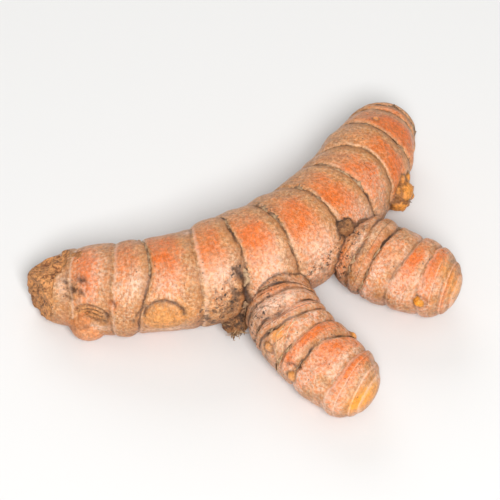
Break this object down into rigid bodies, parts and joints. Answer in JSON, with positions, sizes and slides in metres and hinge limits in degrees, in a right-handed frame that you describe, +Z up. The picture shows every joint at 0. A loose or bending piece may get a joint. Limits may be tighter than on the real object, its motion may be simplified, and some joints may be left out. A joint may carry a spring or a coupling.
{
  "type": "turmeric root",
  "caption": "Fresh turmeric root: a curved, ringed rhizome with a rough broken end, two short daughter fingers, buds and root scars.",
  "frame": {"origin": "on the surface that the root lies on, under the middle of its bounding box", "axes": "+X runs along the root from its broken end towards its growing end, +Y points away from the side that the daughter fingers grow on, +Z is up"},
  "size_m": [0.0872, 0.0776, 0.0228],
  "materials": {
    "skin": "thin papery brown skin, worn through to orange between the rings, slightly waxy"
  },
  "bodies": {
    "root": {"rhizome": "skin"}
  },
  "joints": []
}
